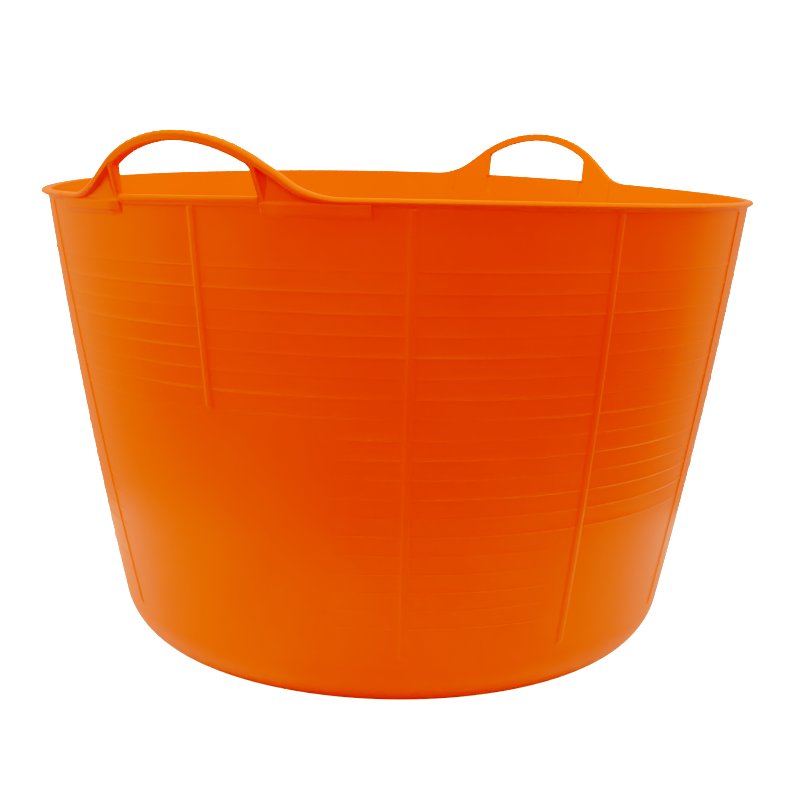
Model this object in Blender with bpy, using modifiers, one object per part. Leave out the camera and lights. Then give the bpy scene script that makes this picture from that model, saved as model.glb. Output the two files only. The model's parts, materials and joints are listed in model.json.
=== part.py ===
"""Mortar mixing tub: a flexible, tapered polythene tub with a rim lip and two loop handles.

The real tub is one moulding. Each of its features is a solid of its own here: floor, base corner,
side wall, rim lip, wall ribs, and for each handle a grip, two roots and two skirts. The grips turn
about a chord through their legs, where the real loops bend.

Frame: the origin is the centre of the base, on the ground; +Z is up; the front handle is at -Y.
"""
import math

import bmesh
import bpy
from mathutils import Matrix, Vector

# Driving dimensions, in metres
RIM_HEIGHT = 0.3645
LIP_RADIUS = 0.280          # outermost edge of the rim
LIP_THICKNESS = 0.0042
LIP_EDGE_ROUND = 0.0012
WALL = 0.003                # wall thickness all over
WALL_TOP_RADIUS = 0.2747    # outside of the wall, just below the lip
WALL_TOP_HEIGHT = 0.3525
BASE_RADIUS = 0.215         # where the outside of the wall would meet the ground
WALL_BULGE = 0.0030         # how far the wall stands proud of a straight cone at mid height
CORNER_RADIUS = 0.050       # between the wall and the base
FOOT_RING_INNER = 0.150
FLOOR_CLEARANCE = 0.0015    # the floor hangs this far above the ground inside the foot ring
GAP = 0.0003                # between neighbouring solids

# Handles, measured along the wall from the handle's centre line and up from the rim
GRIP_RISE = 0.0415          # top of the grip above the rim
GRIP_ARC = 0.1035           # radius of the top of the grip
GRIP_BAND = 0.0070          # thickness of the grip
FLANK_ANGLE = math.radians(37)
FOOT_ARC = 0.060            # where the flank runs out into the rim
FINGER_HALF_WIDTH = 0.0525
FLANGE_DEEP = 0.0054        # how far the flange stands out from the wall at the grip
FLANGE_SHALLOW = 0.0048     # and at the rim
FLANGE_DEEP_RISE = 0.018
SHELL_BELOW = 0.002         # the turned space of a handle reaches this far below the rim
SHELL_ABOVE = 0.004         # and this far above the grip
POST_THICKNESS = 0.0038
FLANGE_THICKNESS = 0.0055
ROOT_END_RISE = 0.0016      # the root stops where the flank is this high
PIVOT_RISE = 0.015
PIVOT_PROUD = 0.0012        # the pivot line's distance outside the wall
PIVOT_X = 0.060             # the pivot line crosses each leg's middle here
KNUCKLE_RADIUS = 0.010
KNUCKLE_CLEARANCE = 0.0004
SKIRT_START = 0.0530
SKIRT_END = 0.129
SKIRT_TOP = 0.0050          # below the rim
SKIRT_BOTTOM = 0.0130
SKIRT_PROUD = 0.0035

# Vertical ribs on the outside of the wall, as angles from a handle's centre line in degrees.
# The first one is short. The same ribs stand on the tub's other half.
RIB_ANGLES = (1, 32, 63, 94, 123, 152)
RIB_WIDTH = 0.005
RIB_PROUD = 0.0014
RIB_TOP = 0.0065            # below the rim
RIB_BOTTOM_HEIGHT = 0.046
SHORT_RIB_BOTTOM_HEIGHT = 0.221

RING_STEPS = 72
CORNER_STEPS = 5
WALL_STEPS = 6
ARC_STEPS = 8
KNUCKLE_STEPS = 32
MERGE_DISTANCE = 0.00001
SHARP_ANGLE = math.radians(30)

ORANGE = (0.80, 0.07, 0.001, 1.0)
ROUGHNESS = 0.3


def clear_scene():
    for obj in list(bpy.data.objects):
        bpy.data.objects.remove(obj, do_unlink=True)


def new_collection(name):
    collection = bpy.data.collections.new(name)
    bpy.context.scene.collection.children.link(collection)
    return collection


def polythene(name):
    material = bpy.data.materials.new(name + "_polythene")
    material.use_nodes = True
    shader = material.node_tree.nodes["Principled BSDF"]
    shader.inputs["Base Color"].default_value = ORANGE
    shader.inputs["Roughness"].default_value = ROUGHNESS
    shader.inputs["Metallic"].default_value = 0.0
    return material


def add_object(name, bm, collection):
    mesh = bpy.data.meshes.new(name)
    bm.to_mesh(mesh)
    bm.free()
    obj = bpy.data.objects.new(name, mesh)
    collection.objects.link(obj)
    return obj


def finish_part(obj):
    obj.data.materials.clear()
    obj.data.materials.append(polythene(obj.name))
    obj.data.shade_smooth()
    obj.data.set_sharp_from_angle(angle=SHARP_ANGLE)
    return obj


# The wall's own curve

def corner_tangent():
    """Length from the virtual corner at BASE_RADIUS to where the corner arc meets ground and wall."""
    inside = math.pi - wall_angle()
    return CORNER_RADIUS / math.tan(inside / 2)


def wall_angle():
    return math.atan2(WALL_TOP_HEIGHT, WALL_TOP_RADIUS - BASE_RADIUS)


def wall_start():
    """Radius and height where the corner arc ends and the wall begins."""
    along = corner_tangent()
    return BASE_RADIUS + along * math.cos(wall_angle()), along * math.sin(wall_angle())


def wall_radius(height):
    """Outside radius of the wall, carried on above the rim as the handles are."""
    r0, z0 = wall_start()
    t = (height - z0) / (WALL_TOP_HEIGHT - z0)
    straight = r0 + (WALL_TOP_RADIUS - r0) * t
    if t > 1:
        slope = (WALL_TOP_RADIUS - r0 - 4 * WALL_BULGE) / (WALL_TOP_HEIGHT - z0)
        return WALL_TOP_RADIUS + slope * (height - WALL_TOP_HEIGHT)
    return straight + WALL_BULGE * 4 * t * (1 - t)


def wall_line(low, high, steps, proud=0.0):
    """Points up the wall, each moved outwards by proud."""
    heights = [low + (high - low) * i / steps for i in range(steps + 1)]
    return [(wall_radius(z) + proud, z) for z in heights]


def corner_line(inset=0.0):
    """Points round the corner from the foot ring up to the wall, moved inwards by inset."""
    centre = Vector((BASE_RADIUS - corner_tangent(), CORNER_RADIUS))
    r0, z0 = wall_start()
    last = math.atan2(z0 - centre.y, r0 - centre.x)
    angles = [-math.pi / 2 + (last + math.pi / 2) * i / CORNER_STEPS for i in range(CORNER_STEPS + 1)]
    reach = CORNER_RADIUS - inset
    return [(centre.x + reach * math.cos(a), centre.y + reach * math.sin(a)) for a in angles]


# Ways of making a solid

def turned(name, outline, collection):
    """A ring from a closed outline of (radius, height), which runs down its outer side."""
    bm = bmesh.new()
    points = [bm.verts.new((r, 0, z)) for r, z in outline]
    for a, b in zip(points, points[1:] + points[:1]):
        bm.edges.new((a, b))
    obj = add_object(name, bm, collection)
    screw = obj.modifiers.new("turn", "SCREW")
    screw.steps = RING_STEPS
    screw.render_steps = RING_STEPS
    screw.use_merge_vertices = True
    screw.merge_threshold = MERGE_DISTANCE
    return obj


def swept(name, outline, start, end, collection):
    """Part of a ring, between two angles from -Y towards +X."""
    steps = math.ceil(2 * RING_STEPS * (end - start) / math.tau)
    bm = bmesh.new()
    face = bm.faces.new([bm.verts.new((0, -r, z)) for r, z in outline])
    bmesh.ops.rotate(bm, verts=bm.verts, cent=(0, 0, 0), matrix=Matrix.Rotation(start, 3, "Z"))
    bmesh.ops.spin(bm, geom=[face] + list(face.edges) + list(face.verts), cent=(0, 0, 0),
                   axis=(0, 0, 1), angle=end - start, steps=steps, use_duplicate=False)
    bmesh.ops.recalc_face_normals(bm, faces=bm.faces)
    return add_object(name, bm, collection)


def slab(name, outline, near, far, collection):
    """An outline of (x, height above the rim) made solid between two distances along -Y."""
    bm = bmesh.new()
    face = bm.faces.new([bm.verts.new((x, -near, RIM_HEIGHT + rise)) for x, rise in outline])
    made = bmesh.ops.extrude_face_region(bm, geom=[face])["geom"]
    moved = [v for v in made if isinstance(v, bmesh.types.BMVert)]
    bmesh.ops.translate(bm, verts=moved, vec=(0, near - far, 0))
    bmesh.ops.recalc_face_normals(bm, faces=bm.faces)
    return add_object(name, bm, collection)


def hide_cutter(obj):
    obj.hide_render = True
    obj.display_type = "WIRE"
    return obj


def cut(obj, cutter, operation="DIFFERENCE"):
    boolean = obj.modifiers.new(operation.lower(), "BOOLEAN")
    boolean.operation = operation
    boolean.solver = "EXACT"
    boolean.object = hide_cutter(cutter)
    return obj


# Sub-parts

def make_floor(parts):
    """The flat bottom: a disc that hangs just clear of the ground."""
    bm = bmesh.new()
    bmesh.ops.create_cone(bm, cap_ends=True, segments=RING_STEPS, radius1=FOOT_RING_INNER - GAP,
                          radius2=FOOT_RING_INNER - GAP, depth=WALL)
    floor = add_object("floor_disc", bm, parts)
    floor.location.z = FLOOR_CLEARANCE + WALL / 2
    return finish_part(floor)


def make_base_corner(parts):
    """The rounded bottom corner, with the flat ring that the tub stands on."""
    outer = corner_line()
    inner = corner_line(WALL)[:-1] + [(outer[-1][0] - WALL, outer[-1][1])]
    outline = outer[::-1] + [(FOOT_RING_INNER, 0)] + [(FOOT_RING_INNER, WALL)] + inner
    return finish_part(turned("base_corner", outline, parts))


def make_side_wall(parts):
    low = wall_start()[1] + GAP
    high = RIM_HEIGHT - LIP_THICKNESS - GAP
    outer = wall_line(low, high, WALL_STEPS)
    inner = wall_line(low, high, WALL_STEPS, -WALL)
    return finish_part(turned("side_wall", outer[::-1] + inner, parts))


def make_rim_lip(parts):
    """The lip turned outwards round the rim."""
    inside = wall_radius(RIM_HEIGHT) - WALL
    low = RIM_HEIGHT - LIP_THICKNESS
    outline = [
        (inside, RIM_HEIGHT),
        (LIP_RADIUS - LIP_EDGE_ROUND, RIM_HEIGHT),
        (LIP_RADIUS, RIM_HEIGHT - LIP_EDGE_ROUND),
        (LIP_RADIUS, low + LIP_EDGE_ROUND),
        (LIP_RADIUS - LIP_EDGE_ROUND, low),
        (wall_radius(low) - WALL, low),
    ]
    return finish_part(turned("rim_lip", outline, parts))


def make_rib(name, angle, bottom, parts):
    """A straight rib that follows the wall's curve."""
    top = RIM_HEIGHT - RIB_TOP
    foot = wall_line(bottom, top, WALL_STEPS, GAP)
    crest = wall_line(bottom, top, WALL_STEPS, RIB_PROUD)
    bm = bmesh.new()
    face = bm.faces.new([bm.verts.new((-RIB_WIDTH / 2, -r, z)) for r, z in foot + crest[::-1]])
    made = bmesh.ops.extrude_face_region(bm, geom=[face])["geom"]
    moved = [v for v in made if isinstance(v, bmesh.types.BMVert)]
    bmesh.ops.translate(bm, verts=moved, vec=(RIB_WIDTH, 0, 0))
    bmesh.ops.recalc_face_normals(bm, faces=bm.faces)
    rib = add_object(name, bm, parts)
    rib.rotation_euler.z = angle
    return finish_part(rib)


def make_ribs(parts):
    for half in (0, 1):
        for place, degrees in enumerate(RIB_ANGLES):
            name = f"wall_rib_{half * len(RIB_ANGLES) + place + 1:02d}"
            bottom = SHORT_RIB_BOTTOM_HEIGHT if place == 0 else RIB_BOTTOM_HEIGHT
            make_rib(name, math.radians(degrees) + half * math.pi, bottom, parts)


def arc(centre, radius, start, end, steps=ARC_STEPS):
    angles = [start + (end - start) * i / steps for i in range(steps + 1)]
    return [(centre[0] + radius * math.cos(a), centre[1] + radius * math.sin(a)) for a in angles]


def arch_centre():
    """The grip's arcs turn about this point on the handle's centre line."""
    return 0.0, GRIP_RISE - GRIP_ARC


def flank_foot():
    """Where the straight flank would reach the rim."""
    top = GRIP_ARC + arch_centre()[1] * math.cos(FLANK_ANGLE)
    return top / math.sin(FLANK_ANGLE)


def flank(low, inset=0.0):
    """The handle's outline at +X from the top of the flank down to the height low."""
    centre = arch_centre()
    shoulder = arc(centre, GRIP_ARC - inset, math.pi / 2 - FLANK_ANGLE, math.pi / 2 - FLANK_ANGLE, 1)[:1]
    reach = FOOT_ARC * math.tan(FLANK_ANGLE / 2)
    foot_centre = (flank_foot() + reach, FOOT_ARC)
    turn = -math.pi / 2 - FLANK_ANGLE
    foot = arc(foot_centre, FOOT_ARC + inset, turn, -math.pi / 2)
    return [p for p in shoulder + foot if p[1] >= low]


def arch_outline(low):
    """The whole loop: outer outline over the top and the finger opening, open at the bottom."""
    centre = arch_centre()
    side = flank(low)
    over = arc(centre, GRIP_ARC, math.pi / 2 - FLANK_ANGLE, math.pi / 2 + FLANK_ANGLE, 2 * ARC_STEPS)
    legs = [(side[-1][0], low)]
    right = over[:1] + side[1:] + legs
    left = [(-x, rise) for x, rise in right]
    inner = GRIP_ARC - GRIP_BAND
    reach = math.asin(FINGER_HALF_WIDTH / inner)
    under = arc(centre, inner, math.pi / 2 + reach, math.pi / 2 - reach, 2 * ARC_STEPS)
    opening = [(-FINGER_HALF_WIDTH, low)] + under + [(FINGER_HALF_WIDTH, low)]
    return right[::-1] + over[1:-1] + left + opening


def root_outline(low, high):
    """One leg at +X between two heights."""
    end = [(flank(ROOT_END_RISE)[-1][0], low)]
    side = [p for p in flank(ROOT_END_RISE) if p[1] < high]
    shoulder = flank(low)[0]
    share = (shoulder[1] - high) / math.tan(FLANK_ANGLE)
    top = [(FINGER_HALF_WIDTH, high), (shoulder[0] + share, high)]
    return [(FINGER_HALF_WIDTH, low)] + top + side + end


def pocket_outline(high):
    """The hollow between the post and the flange, which is open outwards and downwards."""
    near = FINGER_HALF_WIDTH + POST_THICKNESS
    side = [p for p in flank(0, FLANGE_THICKNESS) if 0 < p[1] < high and p[0] > near]
    below = [(side[-1][0], -GAP), (near, -GAP)]
    slope = math.tan(FLANK_ANGLE)
    peak = side[0][1] + (side[0][0] - near) * slope
    return [(near, min(peak, high))] + side + below


def handle_shell(name, inside, deep, shallow, cutters):
    """The turned space that a handle keeps to: the wall carried on upwards, and its flange."""
    rises = (-SHELL_BELOW, FLANGE_DEEP_RISE, GRIP_RISE + SHELL_ABOVE)
    outer = (shallow, deep, deep)
    out = [(wall_radius(RIM_HEIGHT + h) + d, RIM_HEIGHT + h) for h, d in zip(rises, outer)]
    back = [(wall_radius(RIM_HEIGHT + h) - inside, RIM_HEIGHT + h) for h in rises]
    return turned(name, out[::-1] + back, cutters)


def pivot_distance():
    """The pivot line's distance from the tub's axis."""
    reach = wall_radius(RIM_HEIGHT + PIVOT_RISE) + PIVOT_PROUD
    return math.sqrt(reach ** 2 - PIVOT_X ** 2)


def pivot_cylinder(name, radius, cutters):
    """A round bar along the front handle's pivot line, longer than the handle."""
    bm = bmesh.new()
    bmesh.ops.create_cone(bm, cap_ends=True, segments=KNUCKLE_STEPS, radius1=radius,
                          radius2=radius, depth=3 * SKIRT_END)
    bmesh.ops.rotate(bm, verts=bm.verts, cent=(0, 0, 0), matrix=Matrix.Rotation(math.pi / 2, 3, "Y"))
    place = (0, -pivot_distance(), RIM_HEIGHT + PIVOT_RISE)
    bmesh.ops.translate(bm, verts=bm.verts, vec=place)
    return add_object(name, bm, cutters)


def applied(obj, name, collection):
    """A plain mesh object with obj's modifiers applied."""
    graph = bpy.context.evaluated_depsgraph_get()
    mesh = bpy.data.meshes.new_from_object(obj.evaluated_get(graph))
    made = bpy.data.objects.new(name, mesh)
    made.matrix_world = obj.matrix_world
    collection.objects.link(made)
    return made


def copy_round(source, name, half, mirrored, collection):
    """The same shape at the other leg (mirrored) or on the tub's other half."""
    mesh = source.data.copy()
    if mirrored:
        mesh.transform(Matrix.Scale(-1, 4, Vector((1, 0, 0))))
        mesh.flip_normals()
    mesh.transform(Matrix.Rotation(half * math.pi, 4, "Z"))
    obj = bpy.data.objects.new(name, mesh)
    collection.objects.link(obj)
    return obj


def set_origin(obj, point):
    obj.data.transform(Matrix.Translation(-point))
    obj.location = point


def make_grip(cutters):
    """The loop from the pivot line up, with round knuckles at its two ends."""
    near, far = WALL_TOP_RADIUS / 2, LIP_RADIUS + 2 * FLANGE_DEEP
    low = PIVOT_RISE - KNUCKLE_RADIUS - GAP
    grip = slab("grip_blank", arch_outline(low), near, far, cutters)
    cut(grip, handle_shell("grip_shell", WALL, FLANGE_DEEP, FLANGE_SHALLOW, cutters), "INTERSECT")
    wide = 2 * SKIRT_END
    under = [(-wide, -PIVOT_RISE), (wide, -PIVOT_RISE), (wide, PIVOT_RISE), (-wide, PIVOT_RISE)]
    below = slab("grip_underside", under, near, far, cutters)
    cut(below, pivot_cylinder("knuckle", KNUCKLE_RADIUS, cutters))
    cut(grip, below)
    return hide_cutter(grip)


def make_root(cutters):
    """The leg's lower end at +X: flange, post and web, hollowed round the knuckle."""
    near, far = WALL_TOP_RADIUS / 2, LIP_RADIUS + 2 * FLANGE_DEEP
    root = slab("root_blank", root_outline(GAP, PIVOT_RISE), near, far, cutters)
    cut(root, handle_shell("root_shell", WALL, FLANGE_DEEP, FLANGE_SHALLOW, cutters), "INTERSECT")
    pocket = slab("pocket", pocket_outline(PIVOT_RISE + KNUCKLE_RADIUS), near, far, cutters)
    deep = 3 * FLANGE_DEEP
    cut(pocket, handle_shell("pocket_shell", 0.0, deep, deep, cutters), "INTERSECT")
    cut(root, pocket)
    cut(root, pivot_cylinder("socket", KNUCKLE_RADIUS + KNUCKLE_CLEARANCE, cutters))
    return hide_cutter(root)


def make_skirt(name, side, half, parts):
    """The thicker band under the lip at a handle's foot."""
    heights = [RIM_HEIGHT - SKIRT_TOP, RIM_HEIGHT - SKIRT_BOTTOM]
    back = [(wall_radius(z) + GAP, z) for z in heights]
    front = [(wall_radius(z) + SKIRT_PROUD, z) for z in heights]
    angles = sorted(side * s / WALL_TOP_RADIUS for s in (SKIRT_START, SKIRT_END))
    outline = front + back[::-1]
    turn = half * math.pi
    return finish_part(swept(name, outline, angles[0] + turn, angles[1] + turn, parts))


def make_handles(parts, cutters):
    grip = applied(make_grip(cutters), "grip_master", cutters)
    root = applied(make_root(cutters), "root_master", cutters)
    for master in (grip, root):
        hide_cutter(master)
    pivot = Vector((0, -pivot_distance(), RIM_HEIGHT + PIVOT_RISE))
    for half, end in enumerate(("front", "rear")):
        turn = Matrix.Rotation(half * math.pi, 3, "Z")
        handle = finish_part(copy_round(grip, end + "_handle_grip", half, False, parts))
        set_origin(handle, turn @ pivot)
        for side, word in ((1, "right"), (-1, "left")):
            name = f"{end}_{word}_root"
            finish_part(copy_round(root, name, half, side < 0, parts))
            make_skirt(f"{end}_{word}_skirt", side, half, parts)


def main():
    clear_scene()
    parts = new_collection("mortar_mixing_tub")
    cutters = new_collection("cutters")
    make_floor(parts)
    make_base_corner(parts)
    make_side_wall(parts)
    make_rim_lip(parts)
    make_ribs(parts)
    make_handles(parts, cutters)


main()
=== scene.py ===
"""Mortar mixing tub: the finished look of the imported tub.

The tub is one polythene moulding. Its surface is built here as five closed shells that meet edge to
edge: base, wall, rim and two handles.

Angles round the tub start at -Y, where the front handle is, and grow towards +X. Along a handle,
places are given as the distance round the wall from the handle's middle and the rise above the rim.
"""

import json
import math

import bmesh
import bpy
import numpy as np
from mathutils import Matrix, Vector


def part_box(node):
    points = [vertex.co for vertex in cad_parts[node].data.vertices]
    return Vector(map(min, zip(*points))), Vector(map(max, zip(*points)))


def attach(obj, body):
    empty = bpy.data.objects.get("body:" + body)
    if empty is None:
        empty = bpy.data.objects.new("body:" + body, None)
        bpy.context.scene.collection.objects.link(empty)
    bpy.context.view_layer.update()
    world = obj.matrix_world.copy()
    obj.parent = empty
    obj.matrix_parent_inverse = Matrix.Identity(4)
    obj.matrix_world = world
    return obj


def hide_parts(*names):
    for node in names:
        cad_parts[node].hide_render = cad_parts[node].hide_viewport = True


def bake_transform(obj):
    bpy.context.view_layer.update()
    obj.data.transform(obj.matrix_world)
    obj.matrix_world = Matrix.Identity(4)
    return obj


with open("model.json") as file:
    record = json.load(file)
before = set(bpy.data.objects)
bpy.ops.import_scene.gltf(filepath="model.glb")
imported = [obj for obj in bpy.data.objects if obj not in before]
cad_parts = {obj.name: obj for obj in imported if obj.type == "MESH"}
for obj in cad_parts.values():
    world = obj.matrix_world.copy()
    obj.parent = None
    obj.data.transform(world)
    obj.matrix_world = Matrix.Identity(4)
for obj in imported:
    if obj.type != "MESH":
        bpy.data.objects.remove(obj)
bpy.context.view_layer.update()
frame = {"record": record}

MM = 0.001

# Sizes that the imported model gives
RIM_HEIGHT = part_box("rim_lip")[1].z
LIP_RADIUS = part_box("rim_lip")[1].x
LIP_THICKNESS = RIM_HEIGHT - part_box("rim_lip")[0].z
GRIP_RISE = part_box("front_handle_grip")[1].z - RIM_HEIGHT
FLOOR_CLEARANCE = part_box("floor_disc")[0].z
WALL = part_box("floor_disc")[1].z - FLOOR_CLEARANCE
FOOT_RING_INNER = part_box("floor_disc")[1].x
WALL_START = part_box("side_wall")[0].z

# The wall's curve
WALL_TOP_RADIUS = 0.2747
WALL_TOP_HEIGHT = 0.3525
BASE_RADIUS = 0.215             # where the wall's straight line would meet the ground
WALL_BULGE = 0.0030
CORNER_RADIUS = 0.050
FLOOR_HOLE = 4 * MM             # the floor's middle is filled in last
GATE_MARK = 0.6 * MM            # the small raised mark where the plastic was let into the mould
SEAM_DROP = 18 * MM             # the wall's shell ends this far below the rim
RIM_WAVE = 4.1 * MM             # the flexible rim has sprung slightly out of flat
RIM_WAVE_HIGH = math.radians(36.6)
RIM_DENTS = ((-85, 28, 2.2 * MM), (62, 40, -1.8 * MM))     # angle, width and rise

# Handles
GRIP_ARC = 103.5 * MM
GRIP_BAND = 7.0 * MM
FLANK_ANGLE = math.radians(37)
FOOT_ARC = 60 * MM
FINGER_HALF_WIDTH = 52.5 * MM
FINGER_CORNER = 5 * MM
HANDLE_HALF_WIDTH = 139 * MM
# The flexible rim is a little out of round, so each handle sits slightly off its place:
# end, half turn, shift along the rim, width, lean of one post, and how far one foot is drawn in
HANDLES = (
    ("front", 0, -4.2 * MM, 1.04, 0.2, 0),
    ("rear", math.pi, 3.6 * MM, 0.935, 0, 3.5 * MM),
)
POST_LEAN_TOP = 22 * MM         # the leaning post leans outwards below this rise
LEANING_POST = (44 * MM, 74 * MM, 22 * MM)          # first place, last place and softness
DRAWN_IN_FOOT = (-114 * MM, -84 * MM, 24 * MM)      # the same for the foot that is drawn in
LIP_UNDER_OPENING = 2.0 * MM    # how far the lip stands out between a handle's posts
LIP_ROUND = 3.0 * MM
OPENING_ROUND = 1.0 * MM        # the outer and inner edges round the finger opening
INNER_ROUND = 0.8 * MM
LIP_FLARE = 2.6 * MM            # the lip is bent outwards a little at one side
LIP_FLARE_PLACE = math.radians(-64)
LIP_FLARE_WIDTH = math.radians(22)
FLANGE_DEEP = 5.4 * MM
FLANGE_DEEP_ENDS = (80 * MM, 114 * MM)      # along the handle, from full depth to the lip's own
FLANGE_THICKNESS = 5.5 * MM
FLANGE_THICK_ENDS = (70 * MM, 104 * MM)     # and from full thickness to the lip's own
FLANGE_CREASE = 0.3 * MM        # half the width of the bend under the flange, which is crisp
LIP_CREASE = 1.8 * MM           # and under the lip, where it is soft
CREASE_ENDS = (60 * MM, 105 * MM)
POST_THICKNESS = 3.8 * MM
POST_TOP_RISE = 22 * MM
POST_FOOT_DROP = 12 * MM
POCKET_DEPTH = 3.1 * MM
POCKET_WIDTH = 7.5 * MM
SERRATION = 0.15 * MM
SERRATION_PITCH = 6 * MM
SERRATED_HALF_WIDTH = 44 * MM
SERRATION_FADE = 4 * MM         # the bumps fade away this far below the handle's top
INNER_MARK = 0.7 * MM
INNER_BEAD = 90 * MM
SKIRT_START = FINGER_HALF_WIDTH
SKIRT_END = 127 * MM
SKIRT_TOP = 5 * MM
SKIRT_BOTTOM = 13 * MM
SKIRT_PROUD = 2.6 * MM
SKIRT_THINNING = 0.75           # how much of the skirt is lost at the post's foot
SKIRT_THIN_WIDTH = 12 * MM
WEB_PROUD = 1.2 * MM

# Ribs and ridges on the outside of the wall
RIB_ANGLES = (1, 32, 63, 94, 123, 152)  # on one half, in degrees; the first one is the short rib
RIB_LEANS = {63: -1.3, 332: -8.6}       # ribs on the dented sides lean at their tops, in degrees
RIB_WIDTH = 5.0 * MM
RIB_PROUD = 0.85 * MM
RIB_EDGE = 2.8 * MM
RIB_STEPS = 14
RIB_TOP = 6.5 * MM
RIB_RUN_OUT = 5 * MM
RIB_BOTTOM_HEIGHT = 46 * MM
SHORT_RIB_BOTTOM_HEIGHT = 221 * MM
RIDGE_COUNT = 19
RIDGE_LOW = 70.7 * MM
RIDGE_PITCH = 13.81 * MM
RIDGE_PROUD = 0.42 * MM
RIDGE_HALF_WIDTH = 0.7 * MM
RIDGE_DIP = 0.3                 # depth of the dip below each ridge, as a share of the ridge's rise
RIDGE_DIP_PLACE = 1.6           # how far below the ridge it lies, in half widths
RIDGE_FADE = 0.4                # how much the ridges' strength varies from place to place
# Panels with no ridges: first and last angle, lowest and highest point
BLANK_PANELS = ((-28, 21.5, 50 * MM, 218 * MM), (56, 125, 50 * MM, 131 * MM))

# How closely the meshes are divided
SHARP_ANGLE = math.radians(40)
COLUMN_GAP = math.radians(1.25)         # round the wall and base
RIM_COLUMN_GAP = math.radians(1.0)
WALL_ROW_GAP = 5 * MM
CORNER_STEPS = 25
RIDGE_ROWS = (-3, -2.2, -1.6, -1, -0.5, 0, 0.5, 1, 1.8)     # in half widths of a ridge
# Rows below the rim: first rise, last rise and gap, closer at the skirt's edges
SKIRT_ROWS = (
    (-18 * MM, -14.4 * MM, 1.2 * MM),
    (-14.1 * MM, -8.5 * MM, 0.3 * MM),
    (-7.4 * MM, -6.2 * MM, 1.2 * MM),
    (-5.9 * MM, -3.5 * MM, 0.25 * MM),
)
LIP_ROWS = 12
WEB_ROWS = 26
FLANGE_ROWS = 30

# Polythene
DEEP_ORANGE = (0.78, 0.052, 0.0, 1)
PALE_ORANGE = (0.80, 0.060, 0.0, 1)
MOTTLE_SCALE = 9
MOTTLE_SHADES = (0.35, 0.65)            # mottling below gives the deep orange, and above the pale one
MOTTLE_GLOSS = (0.3, 0.7)               # the same for the least and most roughness
ROUGHNESS = (0.28, 0.32)
PEBBLE_SCALE = 900
PEBBLE_STRENGTH = 0.05
PEBBLE_HEIGHT = 0.4 * MM
SPECULAR_TINT = (1.0, 0.25, 0.0, 1)
SPECULAR_LEVEL = 0.25

# Camera, relative to the tub's axis
LENS = 63.26
SENSOR_WIDTH = 36
CAMERA_DISTANCE = 1.15
CAMERA_HEIGHT = 0.4101
CAMERA_AROUND = math.radians(30)
CAMERA_PITCH = math.radians(10.93)
CAMERA_YAW = math.radians(0.21)
CAMERA_ROLL = math.radians(1.08)

# Studio
FLOOR_RADIUS = 0.45
FLOOR_DROP = 0.5 * MM                   # the floor lies just below the tub
FLOOR_ROUGHNESS = 0.8
FLOOR_GREY = 0.58
CONTACT_SHADE = (0.193, 0.208)          # no light comes back inside the first radius
FLOOR_WHITE = 2.5
AMBIENT = 0.02
BACKGROUND = 6.0
TENT_SHEEN = 0.25
LIGHT_TARGET = Vector((0, 0, 0.2))
# Name, degrees round the tub from the camera's side, distance out, height, width, tall and power
SOFTBOXES = (
    ("left_softbox", -96, 1.5, 0.75, 2.2, 1.5, 28),
    ("right_softbox", 97, 1.2, 0.9, 1.4, 0.9, 13),
    ("top_softbox", 0, 0.3, 2.0, 1.1, 1.1, 45),
    ("back_softbox", 180, 2.6, 1.0, 4.0, 2.4, 5),
    ("front_softbox", 5, 2.6, 1.5, 3.0, 1.6, 6),
    ("rim_softbox", -5, 0.63, 0.62, 0.75, 0.1, 0.74),
)
# How the camera holds back a bright saturated orange: red saturates early, blue is lost when low
RED_CURVE = ((0, 0), (0.05, 0.35), (0.12, 0.6), (0.25, 0.705), (0.5, 0.775), (1, 0.86))
GREEN_CURVE = ((0, 0), (0.012, 0.018), (0.018, 0.034), (0.035, 0.095), (0.045, 0.135),
               (0.12, 0.26), (0.35, 0.5), (1, 0.9))
BLUE_CURVE = ((0, 0), (0.012, 0), (0.06, 0.055), (0.23, 0.25), (1, 0.9))


# Small functions of distance

def smooth_step(low, high, value):
    t = np.clip((value - low) / (high - low), 0, 1)
    return t * t * (3 - 2 * t)


def edge_drop(distance, radius):
    """How far a rounded edge of that radius falls away at a distance from the edge."""
    inside = np.clip(1 - distance / radius, 0, 1)
    return radius * (1 - np.sqrt(1 - inside ** 2))


def band(value, low, high, soft):
    """1 between low and high and 0 outside, with soft edges."""
    return smooth_step(low - soft / 2, low + soft / 2, value) * smooth_step(
        -high - soft / 2, -high + soft / 2, -value)


# The wall's curve

def wall_angle():
    return math.atan2(WALL_TOP_HEIGHT, WALL_TOP_RADIUS - BASE_RADIUS)


def corner_tangent():
    """Length from where wall and ground would meet to where the corner arc begins."""
    return CORNER_RADIUS / math.tan((math.pi - wall_angle()) / 2)


def wall_radius(height):
    """Outside radius of the wall, carried on above the rim."""
    along = corner_tangent()
    r0 = BASE_RADIUS + along * math.cos(wall_angle())
    z0 = along * math.sin(wall_angle())
    t = (height - z0) / (WALL_TOP_HEIGHT - z0)
    slope = (WALL_TOP_RADIUS - r0 - 4 * WALL_BULGE) / (WALL_TOP_HEIGHT - z0)
    curved = r0 + (WALL_TOP_RADIUS - r0) * t + WALL_BULGE * 4 * t * (1 - t)
    return np.where(t > 1, WALL_TOP_RADIUS + slope * (height - WALL_TOP_HEIGHT), curved)


# The relief on the outside of the wall

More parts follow.
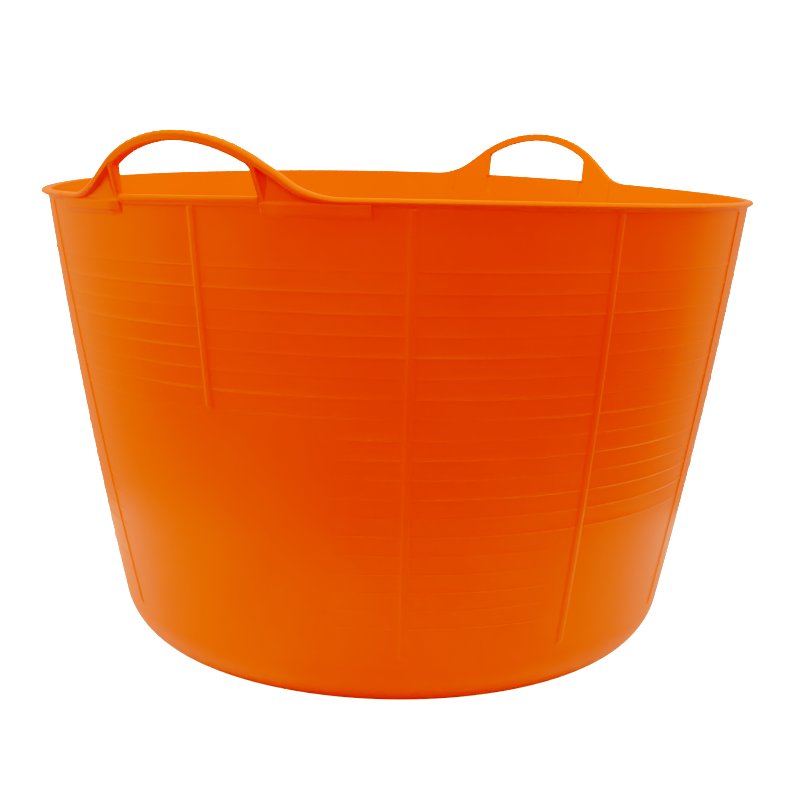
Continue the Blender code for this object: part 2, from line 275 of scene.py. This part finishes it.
def ribs(angle, height):
    total = np.zeros(np.broadcast(angle, height).shape)
    for half in (0, 1):
        for place, degrees in enumerate(RIB_ANGLES):
            bottom = SHORT_RIB_BOTTOM_HEIGHT if place == 0 else RIB_BOTTOM_HEIGHT
            lean = RIB_LEANS.get(degrees + 180 * half, 0) * height / RIM_HEIGHT
            middle = np.radians(degrees + 180 * half + lean)
            turn = off_angle(angle, middle)
            across = band(turn * wall_radius(height), -RIB_WIDTH / 2, RIB_WIDTH / 2, RIB_EDGE)
            run_out = smooth_step(bottom - 1 * MM, bottom + RIB_RUN_OUT, height)
            top = smooth_step(RIB_TOP - 1 * MM, RIB_TOP + 1 * MM, RIM_HEIGHT - height)
            total = np.maximum(total, RIB_PROUD * across * run_out * top)
    return total


def ridges(angle, height):
    """Faint horizontal ridges, strongest here and there and absent from the blank panels."""
    step = np.round((height - RIDGE_LOW) / RIDGE_PITCH)
    step = np.clip(step, 0, RIDGE_COUNT - 1)
    off = (height - RIDGE_LOW - step * RIDGE_PITCH) / RIDGE_HALF_WIDTH
    crest = np.exp(-off ** 2) - RIDGE_DIP * np.exp(-(off + RIDGE_DIP_PLACE) ** 2)
    wander = np.sin(5 * angle + 1.9 * step) * np.cos(3 * angle - 0.8 * step)
    patchy = 1 - RIDGE_FADE + RIDGE_FADE * wander
    total = RIDGE_PROUD * crest * patchy
    for left, right, low, high in BLANK_PANELS:
        across = band(off_angle(angle, 0), math.radians(left), math.radians(right), 0.06)
        total = total * (1 - across * band(height, low, high, 2 * MM))
    return total


# The handle's outline

def top_line(along):
    """Rise of the handle's upper outline, which runs out into the rim."""
    a = np.abs(along)
    centre = GRIP_RISE - GRIP_ARC
    shoulder = GRIP_ARC * math.sin(FLANK_ANGLE)
    shoulder_rise = centre + GRIP_ARC * math.cos(FLANK_ANGLE)
    foot = (GRIP_ARC + centre * math.cos(FLANK_ANGLE)) / math.sin(FLANK_ANGLE)
    reach = FOOT_ARC * math.tan(FLANK_ANGLE / 2)
    end = foot + reach
    bend = foot - reach * math.cos(FLANK_ANGLE)
    arch = centre + np.sqrt(np.maximum(GRIP_ARC ** 2 - a ** 2, 0))
    flank = shoulder_rise - (a - shoulder) * math.tan(FLANK_ANGLE)
    run_out = FOOT_ARC - np.sqrt(FOOT_ARC ** 2 - np.clip(end - a, 0, FOOT_ARC) ** 2)
    return np.where(a < shoulder, arch, np.where(a < bend, flank, np.where(a < end, run_out, 0)))


def opening_line(along):
    """Rise of the finger opening's upper edge."""
    a = np.abs(along)
    centre = GRIP_RISE - GRIP_ARC
    inner = GRIP_ARC - GRIP_BAND
    corner_x = FINGER_HALF_WIDTH - FINGER_CORNER
    corner_rise = centre + math.sqrt((inner - FINGER_CORNER) ** 2 - corner_x ** 2)
    meet = corner_x * inner / (inner - FINGER_CORNER)
    under = centre + np.sqrt(np.maximum(inner ** 2 - a ** 2, 0))
    corner = corner_rise + np.sqrt(np.maximum(FINGER_CORNER ** 2 - (a - corner_x) ** 2, 0))
    return np.where(a < meet, under, corner)


def steepness(along):
    """Cosine of the outline's slope."""
    step = 0.5 * MM
    rise = (top_line(along + step) - top_line(along - step)) / (2 * step)
    return 1 / np.sqrt(1 + rise ** 2)


def flange_depth(along):
    """How far the lip and flange stand out from the wall."""
    lip = LIP_RADIUS - wall_radius(RIM_HEIGHT)
    full, gone = FLANGE_DEEP_ENDS
    return lip + (FLANGE_DEEP - lip) * smooth_step(-gone, -full, -np.abs(along))


def flange_thickness(along):
    full, gone = FLANGE_THICK_ENDS
    thicker = smooth_step(-gone, -full, -np.abs(along))
    return LIP_THICKNESS + (FLANGE_THICKNESS - LIP_THICKNESS) * thicker


def opening_distance(along, rise):
    """Distance outside the finger opening, and below zero inside it."""
    a = np.abs(along)
    radial = np.hypot(a, rise - (GRIP_RISE - GRIP_ARC)) - (GRIP_ARC - GRIP_BAND)
    return np.maximum(np.maximum(a - FINGER_HALF_WIDTH, -rise), radial)


def pocket(a, rise):
    """The hollow beside the post, wide at its top and gone at the rim."""
    near = FINGER_HALF_WIDTH + POST_THICKNESS
    wide = POCKET_WIDTH * np.clip((rise + 3 * MM) / POST_TOP_RISE, 0, 1)
    inside = smooth_step(near - 0.3 * MM, near + 0.3 * MM, a)
    inside = inside * (1 - smooth_step(wide - 2.5 * MM, wide + 1 * MM, a - near))
    return -POCKET_DEPTH * inside * smooth_step(-3 * MM, 5 * MM, rise)


def skirt(a, rise):
    """The thicker web beside the post and the skirt below it, which thins at the post's foot."""
    below = smooth_step(-SKIRT_BOTTOM - 1 * MM, -SKIRT_BOTTOM + 2.5 * MM, rise)
    proud = WEB_PROUD + (SKIRT_PROUD - WEB_PROUD) * smooth_step(SKIRT_TOP - 2.5 * MM, SKIRT_TOP, -rise)
    near_post = smooth_step(-SKIRT_THIN_WIDTH, 0, SKIRT_START - a)
    proud = proud * (1 - SKIRT_THINNING * near_post * np.clip(-rise / SKIRT_BOTTOM, 0, 1))
    return proud * below * band(a, SKIRT_START, SKIRT_END, 1.6 * MM)


def rim_relief(along, rise, angle):
    """How far the outer surface stands out from the wall near the rim and on the handles."""
    a = np.abs(along)
    at_opening = a < FINGER_HALF_WIDTH
    lip_only = at_opening & (rise <= 0)
    below_top = np.where(lip_only, -rise, (top_line(along) - rise) * steepness(along))
    thick = np.where(at_opening & (rise > 0), GRIP_RISE, flange_thickness(along))
    depth = np.where(lip_only, LIP_UNDER_OPENING, flange_depth(along))
    flare = np.exp(-(off_angle(angle, LIP_FLARE_PLACE) / LIP_FLARE_WIDTH) ** 2)
    depth = depth + LIP_FLARE * flare * (a > HANDLE_HALF_WIDTH - 1 * MM)
    soft = FLANGE_CREASE + (LIP_CREASE - FLANGE_CREASE) * smooth_step(*CREASE_ENDS, a)
    soft = np.where(lip_only, LIP_CREASE, soft)
    flange = depth * (1 - smooth_step(thick - soft, thick + soft, below_top))
    post = FLANGE_DEEP * np.clip((rise + POST_FOOT_DROP) / (POST_TOP_RISE + POST_FOOT_DROP), 0, 1)
    post = post * band(a, FINGER_HALF_WIDTH - 0.1 * MM, FINGER_HALF_WIDTH + POST_THICKNESS, 0.5 * MM)
    feet = np.maximum(skirt(a, rise), ribs(angle, RIM_HEIGHT + rise)) + pocket(a, rise)
    relief = np.maximum(np.maximum(flange, post), feet)
    edge = np.where(lip_only, LIP_ROUND - 0.4 * MM, LIP_ROUND)
    opening_edge = edge_drop(np.maximum(opening_distance(along, rise), 0), OPENING_ROUND)
    drop = np.maximum(edge_drop(below_top, edge), opening_edge)
    return np.maximum(relief - drop, -WALL + 1 * MM)


# Meshes

def off_angle(angle, place):
    """The angle from a place, between minus and plus a half turn."""
    return (angle - place + math.pi) % math.tau - math.pi


def placed(angle, radius, height):
    """Points of the tub, with the slight wave of its rim, which fades towards the base."""
    wave = RIM_WAVE * np.cos(2 * (angle - RIM_WAVE_HIGH))
    for place, width, rise in RIM_DENTS:
        off = off_angle(angle, math.radians(place)) / math.radians(width)
        wave = wave + rise * np.exp(-off ** 2)
    wave = wave * np.clip(height / RIM_HEIGHT, 0, 1) ** 2
    return np.stack([radius * np.sin(angle), -radius * np.cos(angle), height + wave], axis=-1)


def shell(name, front, back, keep, closed_ring):
    """A closed mesh from an outer and an inner grid of points, with the sides of every opening."""
    rows, columns = front.shape[:2]
    count = rows * columns
    quads = []
    for i in range(rows - 1):
        low = i * columns
        high = low + columns
        for j in range(columns if closed_ring else columns - 1):
            if keep[i, j]:
                k = (j + 1) % columns
                quads.append((low + j, low + k, high + k, high + j))
    edges = {(q[n], q[(n + 1) % 4]) for q in quads for n in range(4)}
    sides = [(b, a, a + count, b + count) for a, b in sorted(edges) if (b, a) not in edges]
    inner = [tuple(v + count for v in q[::-1]) for q in quads]
    mesh = bpy.data.meshes.new(name)
    points = np.concatenate([front.reshape(-1, 3), back.reshape(-1, 3)])
    faces = quads + inner + sides
    used = sorted({v for f in faces for v in f})
    place = {v: n for n, v in enumerate(used)}
    mesh.from_pydata(points[used].tolist(), [], [tuple(place[v] for v in f) for f in faces])
    mesh.shade_smooth()
    mesh.set_sharp_from_angle(angle=SHARP_ANGLE)
    obj = bpy.data.objects.new(name, mesh)
    bpy.context.scene.collection.objects.link(obj)
    return obj


def spread(points, gap):
    """The points in order, with others between them no further apart than gap."""
    points = sorted(points)
    result = [points[0]]
    for a, b in zip(points, points[1:]):
        if b - a < 1e-7:
            continue
        steps = math.ceil((b - a) / gap - 1e-6)
        result += [a + (b - a) * n / steps for n in range(1, steps + 1)]
    return np.array(result)


def rib_columns():
    """Angles across each rib, close together, and over the whole sweep of a leaning rib."""
    half = (RIB_WIDTH + RIB_EDGE) / 2 / WALL_TOP_RADIUS
    step = 2 * half / RIB_STEPS
    columns = []
    for place in [d + 180 * h for d in RIB_ANGLES for h in (0, 1)]:
        middle = math.radians(place)
        sweep = math.radians(RIB_LEANS.get(place, 0))
        columns += np.arange(middle + sweep - half, middle + half + step / 2, step).tolist()
    return columns


def lower_rows():
    """Rises of the rows from the seam up to the rim, close together at the skirt's and lip's edges."""
    rows = []
    for first, last, gap in SKIRT_ROWS:
        rows += spread([first, last], gap).tolist()
    rows += (-LIP_ROUND * np.linspace(1, 0, LIP_ROWS) ** 2).tolist()
    return np.array(rows)[:, None]


def upper_rows(along):
    """Rises of the mesh's rows at each place along the rim: wall, web, then flange."""
    a = np.abs(along)
    top = top_line(along)
    under_flange = top - (flange_thickness(along) + 1.5 * MM) / steepness(along)
    blend_in = smooth_step(FINGER_HALF_WIDTH, FINGER_HALF_WIDTH + POST_THICKNESS, a)
    edge = opening_line(np.minimum(a, FINGER_HALF_WIDTH))
    in_opening = a <= FINGER_HALF_WIDTH + 1e-9
    lower_edge = np.where(in_opening, edge, edge * (1 - blend_in) + under_flange * blend_in)
    ledge = np.where(in_opening, 0, np.minimum(0, lower_edge - 1 * MM))
    low = lower_rows()
    lower = -SEAM_DROP + (low + SEAM_DROP) * (ledge + SEAM_DROP) / SEAM_DROP
    share = np.linspace(0, 1, WEB_ROWS)[1:-1, None]
    middle = ledge + (lower_edge - ledge) * share
    share_up = (1 - np.cos(np.linspace(0, math.pi, FLANGE_ROWS)))[:, None] / 2
    upper = lower_edge + (top - lower_edge) * share_up
    opening = (len(low) - 1, len(low) + len(share))
    return np.concatenate([lower, middle, upper]), opening


def serrations(along):
    """Small grip bumps along the top of the handle."""
    bumps = SERRATION * np.cos(math.tau * along / SERRATION_PITCH)
    return bumps * band(np.abs(along), -1, SERRATED_HALF_WIDTH, 8 * MM)


def inner_marks(along, rise):
    """Shallow marks on the inside: a groove behind each post and a bead behind each web."""
    a = np.abs(along)
    groove = band(a, FINGER_HALF_WIDTH - 1.5 * MM, FINGER_HALF_WIDTH + 2.5 * MM, 2 * MM)
    groove = groove * smooth_step(0, 3 * MM, -rise)
    bead = band(a, INNER_BEAD, INNER_BEAD + 2 * MM, 1.6 * MM) * smooth_step(-6 * MM, -2 * MM, -rise)
    return INNER_MARK * (groove - bead) * smooth_step(-SEAM_DROP, 6 * MM - SEAM_DROP, rise)


def rim_grids(along, rise, angle):
    """Outer and inner points of the rim or a handle."""
    along = np.broadcast_to(along, rise.shape)
    angle = np.broadcast_to(angle, rise.shape)
    height = RIM_HEIGHT + rise
    outer = wall_radius(height) + rim_relief(along, rise, angle)
    lip_only = (rise <= 0) & (np.abs(along) <= FINGER_HALF_WIDTH)
    below_top = np.where(lip_only, -rise, top_line(along) - rise)
    opening_edge = edge_drop(np.maximum(opening_distance(along, rise), 0), INNER_ROUND)
    rounding = np.maximum(edge_drop(below_top, INNER_ROUND), opening_edge)
    inner = wall_radius(height) - WALL + rounding + inner_marks(along, rise)
    near_top = smooth_step(-SERRATION_FADE, 0, rise - top_line(along)) * (rise > 5 * MM)
    bumps = serrations(along) * near_top
    return placed(angle, outer, height + bumps), placed(angle, inner, height + bumps)


def handle_places(shift, width):
    """Places of the mesh's columns along a handle, close together at its edges."""
    post = FINGER_HALF_WIDTH
    fine = spread([post - 3 * MM, post], 0.3 * MM).tolist()
    fine += [post - 0.1 * MM, post + 0.1 * MM, post + 0.25 * MM]
    fine += spread([post + 0.5 * MM, post + POST_THICKNESS + 0.6 * MM], 0.25 * MM).tolist()
    fine += spread([SKIRT_END - 1 * MM, SKIRT_END + 1 * MM], 0.25 * MM).tolist()
    ends = [(x * HANDLE_HALF_WIDTH - shift) / width for x in (-1, 1)]
    rib = [x - turns * math.tau for x in rib_columns() for turns in (0, 1)]
    rib = [(x * WALL_TOP_RADIUS - shift) / width for x in rib]
    rib = [x for x in rib if ends[0] < x < ends[1]]
    places = sorted(fine + [-x for x in fine] + ends + rib)
    places = [x for n, x in enumerate(places) if n == 0 or x - places[n - 1] > 0.04 * MM]
    return spread(places, 1 * MM)


def warp(along, rise, lean, drawn_in):
    """How far a handle's points move along the rim: one post leans, the other foot is drawn in."""
    post = lean * np.maximum(POST_LEAN_TOP - rise, 0) * band(along, *LEANING_POST)
    foot = drawn_in * band(along, *DRAWN_IN_FOOT)
    return post + foot


def make_handle(name, turn, shift, width, lean, drawn_in):
    along = handle_places(shift, width)
    rise, (low, high) = upper_rows(along)
    angle = (along * width + warp(along, rise, lean, drawn_in) + shift) / WALL_TOP_RADIUS + turn
    front, back = rim_grids(along, rise, angle)
    keep = np.ones(front.shape[:2], bool)
    inside = np.abs((along[:-1] + along[1:]) / 2) < FINGER_HALF_WIDTH
    keep[low:high, :-1] = ~inside
    return shell(name, front, back, keep, False)


def make_rim_part(start, end):
    """Angles and grids of the plain rim between the two handles."""
    columns = [start, end] + [x for x in rib_columns() if start < x < end]
    angle = spread(columns, RIM_COLUMN_GAP)
    along = np.full(len(angle), HANDLE_HALF_WIDTH)
    return rim_grids(along, upper_rows(along)[0], angle)


def make_rim():
    """The plain rim on both sides of the tub, between the handles."""
    reach = HANDLE_HALF_WIDTH / WALL_TOP_RADIUS
    halves = []
    for half in (0, 1):
        start = reach + half * math.pi
        front, back = make_rim_part(start, start + math.pi - 2 * reach)
        halves.append(shell("tub_rim" if half == 0 else "rim_half", front, back,
                            np.ones(front.shape[:2], bool), False))
    return joined(halves)


def joined(objects):
    with bpy.context.temp_override(active_object=objects[0], selected_editable_objects=objects):
        bpy.ops.object.join()
    return objects[0]


def full_circle():
    columns = [0, math.tau] + [x % math.tau for x in rib_columns()]
    return spread(columns, COLUMN_GAP)[:-1]


def make_wall():
    angle = full_circle()[None, :]
    rows = [WALL_START, RIM_HEIGHT - SEAM_DROP]
    for step in range(RIDGE_COUNT):
        middle = RIDGE_LOW + step * RIDGE_PITCH
        rows += [middle + x * RIDGE_HALF_WIDTH for x in RIDGE_ROWS]
    for bottom in (SHORT_RIB_BOTTOM_HEIGHT, RIB_BOTTOM_HEIGHT):
        rows += spread([bottom - 1 * MM, bottom + RIB_RUN_OUT], 1 * MM).tolist()
    rows = [z for z in rows if z <= RIM_HEIGHT - SEAM_DROP]
    height = spread(rows, WALL_ROW_GAP)[:, None]
    angle, height = np.broadcast_arrays(angle, height)
    outer = wall_radius(height) + np.maximum(ribs(angle, height), ridges(angle, height))
    inner = wall_radius(height) - WALL
    front = placed(angle, outer, height)
    back = placed(angle, inner, height)
    return shell("tub_wall", front, back, np.ones(height.shape, bool), True)


def corner_arc(inset):
    """Radii and heights round the bottom corner, from the ground up to the wall."""
    centre = BASE_RADIUS - corner_tangent()
    last = wall_angle() - math.pi / 2
    turn = np.linspace(-math.pi / 2, last, CORNER_STEPS)
    reach = CORNER_RADIUS - inset
    return centre + reach * np.cos(turn), CORNER_RADIUS + reach * np.sin(turn)


def make_base():
    """Floor and rounded corner: from the middle of the floor out and up to the wall."""
    angle = spread([0, math.tau], COLUMN_GAP)[:-1][None, :]
    outer_r, outer_z = corner_arc(0)
    inner_r, inner_z = corner_arc(WALL)
    top = wall_radius(WALL_START)
    outer_r = np.append(outer_r, top)
    outer_z = np.append(outer_z, WALL_START)
    inner_r = np.append(inner_r, top - WALL)
    inner_z = np.append(inner_z, WALL_START)
    last = outer_r[0] - 2 * MM
    edges = [FLOOR_HOLE, FLOOR_HOLE + 4 * MM, FOOT_RING_INNER - 4 * MM, FOOT_RING_INNER + 4 * MM, last]
    ring = np.concatenate([spread(edges[:2], 1 * MM), spread(edges[1:3], 30 * MM)[1:],
                           spread(edges[2:4], 1 * MM)[1:], spread(edges[3:], 10 * MM)[1:]])
    foot = smooth_step(FOOT_RING_INNER - 2 * MM, FOOT_RING_INNER + 2 * MM, ring)
    recess = FLOOR_CLEARANCE * (1 - foot)
    gate = GATE_MARK * (1 - smooth_step(3 * MM, 8 * MM, ring))
    outer_r = np.concatenate([ring, outer_r])
    outer_z = np.concatenate([recess + gate, outer_z])
    inner_r = np.concatenate([ring, inner_r])
    inner_z = np.concatenate([recess + WALL + gate, inner_z])
    front = placed(angle, outer_r[:, None], outer_z[:, None])
    back = placed(angle, inner_r[:, None], inner_z[:, None])
    base = shell("tub_base", front, back, np.ones(front.shape[:2], bool), True)
    fill_middle(base)
    return base


def fill_middle(base):
    """Closes the small round hole at the floor's middle, top and bottom."""
    bm = bmesh.new()
    bm.from_mesh(base.data)
    reach = FLOOR_HOLE + 0.5 * MM
    middle = [f for f in bm.faces if all(math.hypot(v.co.x, v.co.y) < reach for v in f.verts)]
    rims = [f for f in middle if abs(f.normal.z) < 0.5]
    bmesh.ops.delete(bm, geom=rims, context="FACES_ONLY")
    open_edges = [e for e in bm.edges if e.is_boundary]
    bmesh.ops.holes_fill(bm, edges=open_edges, sides=0)
    bmesh.ops.recalc_face_normals(bm, faces=bm.faces)
    bm.to_mesh(base.data)
    bm.free()
    base.data.shade_smooth()
    base.data.set_sharp_from_angle(angle=SHARP_ANGLE)


# Material

def polythene(name):
    """Semi-gloss orange polythene with faint mottling and fine pebbling."""
    material = bpy.data.materials.new(name)
    material.use_nodes = True
    nodes = material.node_tree.nodes
    links = material.node_tree.links
    shader = nodes["Principled BSDF"]
    shader.inputs["Specular Tint"].default_value = SPECULAR_TINT
    shader.inputs["Specular IOR Level"].default_value = SPECULAR_LEVEL
    place = nodes.new("ShaderNodeTexCoord")

    mottle = nodes.new("ShaderNodeTexNoise")
    mottle.inputs["Scale"].default_value = MOTTLE_SCALE
    mottle.inputs["Detail"].default_value = 4
    links.new(place.outputs["Object"], mottle.inputs["Vector"])
    tint = nodes.new("ShaderNodeValToRGB")
    stops = zip(tint.color_ramp.elements, MOTTLE_SHADES, (DEEP_ORANGE, PALE_ORANGE))
    for stop, position, shade in stops:
        stop.position = position
        stop.color = shade
    links.new(mottle.outputs["Fac"], tint.inputs["Fac"])
    links.new(tint.outputs["Color"], shader.inputs["Base Color"])

    gloss = nodes.new("ShaderNodeMapRange")
    gloss.inputs["From Min"].default_value = MOTTLE_GLOSS[0]
    gloss.inputs["From Max"].default_value = MOTTLE_GLOSS[1]
    gloss.inputs["To Min"].default_value = ROUGHNESS[0]
    gloss.inputs["To Max"].default_value = ROUGHNESS[1]
    links.new(mottle.outputs["Fac"], gloss.inputs["Value"])
    links.new(gloss.outputs["Result"], shader.inputs["Roughness"])

    pebbles = nodes.new("ShaderNodeTexNoise")
    pebbles.inputs["Scale"].default_value = PEBBLE_SCALE
    pebbles.inputs["Detail"].default_value = 2
    links.new(place.outputs["Object"], pebbles.inputs["Vector"])
    bump = nodes.new("ShaderNodeBump")
    bump.inputs["Strength"].default_value = PEBBLE_STRENGTH
    bump.inputs["Distance"].default_value = PEBBLE_HEIGHT
    links.new(pebbles.outputs["Fac"], bump.inputs["Height"])
    links.new(bump.outputs["Normal"], shader.inputs["Normal"])
    return material


# Studio

def aim(obj, target):
    direction = obj.location - target
    obj.rotation_euler = direction.to_track_quat("Z", "Y").to_euler()


def softbox(name, around, out, height, width, tall, power):
    """A soft light at an angle round the tub from the camera's side, turned to the tub."""
    light = bpy.data.lights.new(name, "AREA")
    light.shape = "RECTANGLE"
    light.size = width
    light.size_y = tall
    light.energy = power
    obj = bpy.data.objects.new(name, light)
    bpy.context.scene.collection.objects.link(obj)
    turn = CAMERA_AROUND + math.radians(around)
    obj.location = (out * math.sin(turn), -out * math.cos(turn), height)
    aim(obj, LIGHT_TARGET)
    obj.visible_glossy = False


def seen_only_by_camera(tree, dim, bright):
    """A strength that is bright where the picture shows the backdrop and dim where it lights the tub."""
    seen = tree.nodes.new("ShaderNodeLightPath")
    level = tree.nodes.new("ShaderNodeMapRange")
    level.inputs["To Min"].default_value = dim
    level.inputs["To Max"].default_value = bright
    tree.links.new(seen.outputs["Is Camera Ray"], level.inputs["Value"])
    return level.outputs["Result"]


def make_floor():
    """A pale floor, dark right under the base, that looks white to the camera."""
    bpy.ops.mesh.primitive_circle_add(vertices=96, radius=FLOOR_RADIUS, fill_type="NGON")
    floor = bpy.context.object
    floor.name = "studio_floor"
    floor.location.z = -FLOOR_DROP
    material = bpy.data.materials.new("pale_floor")
    material.use_nodes = True
    nodes = material.node_tree.nodes
    links = material.node_tree.links
    shader = nodes["Principled BSDF"]
    shader.inputs["Roughness"].default_value = FLOOR_ROUGHNESS
    shader.inputs["Emission Color"].default_value = (1, 1, 1, 1)
    place = nodes.new("ShaderNodeTexCoord")
    reach = nodes.new("ShaderNodeVectorMath")
    reach.operation = "LENGTH"
    links.new(place.outputs["Object"], reach.inputs[0])
    shade = nodes.new("ShaderNodeMapRange")
    shade.inputs["From Min"].default_value = CONTACT_SHADE[0]
    shade.inputs["From Max"].default_value = CONTACT_SHADE[1]
    shade.inputs["To Min"].default_value = 0
    shade.inputs["To Max"].default_value = FLOOR_GREY
    links.new(reach.outputs["Value"], shade.inputs["Value"])
    links.new(shade.outputs["Result"], shader.inputs["Base Color"])
    glow = seen_only_by_camera(material.node_tree, 0, FLOOR_WHITE)
    links.new(glow, shader.inputs["Emission Strength"])
    floor.data.materials.append(material)


def make_camera():
    camera = bpy.data.cameras.new("camera")
    camera.lens = LENS
    camera.sensor_width = SENSOR_WIDTH
    obj = bpy.data.objects.new("camera", camera)
    bpy.context.scene.collection.objects.link(obj)
    place = Matrix.Translation((0, -CAMERA_DISTANCE, CAMERA_HEIGHT))
    look = Matrix.Rotation(-CAMERA_YAW, 4, "Z") @ Matrix.Rotation(math.pi / 2 - CAMERA_PITCH, 4, "X")
    around = Matrix.Rotation(CAMERA_AROUND, 4, "Z")
    obj.matrix_world = around @ place @ look @ Matrix.Rotation(CAMERA_ROLL, 4, "Z")
    bpy.context.scene.camera = obj


def make_world():
    """White behind the tub, and a dim even light from all round."""
    world = bpy.data.worlds.new("studio_world")
    world.use_nodes = True
    links = world.node_tree.links
    background = world.node_tree.nodes["Background"]
    background.inputs["Color"].default_value = (1, 1, 1, 1)
    level = seen_only_by_camera(world.node_tree, AMBIENT, BACKGROUND)
    seen = world.node_tree.nodes["Light Path"]
    sheen = world.node_tree.nodes.new("ShaderNodeMath")
    sheen.operation = "MULTIPLY_ADD"
    sheen.inputs[1].default_value = TENT_SHEEN
    links.new(seen.outputs["Is Glossy Ray"], sheen.inputs[0])
    links.new(level, sheen.inputs[2])
    links.new(sheen.outputs["Value"], background.inputs["Strength"])
    bpy.context.scene.world = world


def set_tone_curve():
    """Plain sRGB with a soft shoulder, as a camera holds back a bright saturated colour."""
    view = bpy.context.scene.view_settings
    view.view_transform = "Standard"
    view.use_curve_mapping = True
    mapping = view.curve_mapping
    mapping.extend = "EXTRAPOLATED"
    for curve, points in zip(mapping.curves, (RED_CURVE, GREEN_CURVE, BLUE_CURVE)):
        curve.points[0].location = points[0]
        curve.points[1].location = points[-1]
        for point in points[1:-1]:
            curve.points.new(*point)
    mapping.update()


def make_studio():
    make_floor()
    make_world()
    for light in SOFTBOXES:
        softbox(*light)
    set_tone_curve()


def main():
    tub = list(frame["record"]["behaviour"]["bodies"]["tub"])
    pieces = {
        "base": (make_base(), [n for n in tub if n in ("floor_disc", "base_corner")]),
        "wall": (make_wall(), [n for n in tub if n == "side_wall" or n.startswith("wall_rib")]),
        "rim": (make_rim(), ["rim_lip"]),
    }
    for slot, (piece, nodes) in pieces.items():
        piece.data.materials.append(polythene(slot + "_polythene"))
        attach(piece, "tub")
        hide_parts(*nodes)
    for end, turn, *fit in HANDLES:
        name = end + "_handle"
        handle = make_handle(name + "_loop", turn, *fit)
        handle.data.materials.append(polythene(name + "_polythene"))
        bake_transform(handle)
        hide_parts(name + "_grip", *[n for n in tub if n.startswith(end)])
    make_camera()
    make_studio()


main()
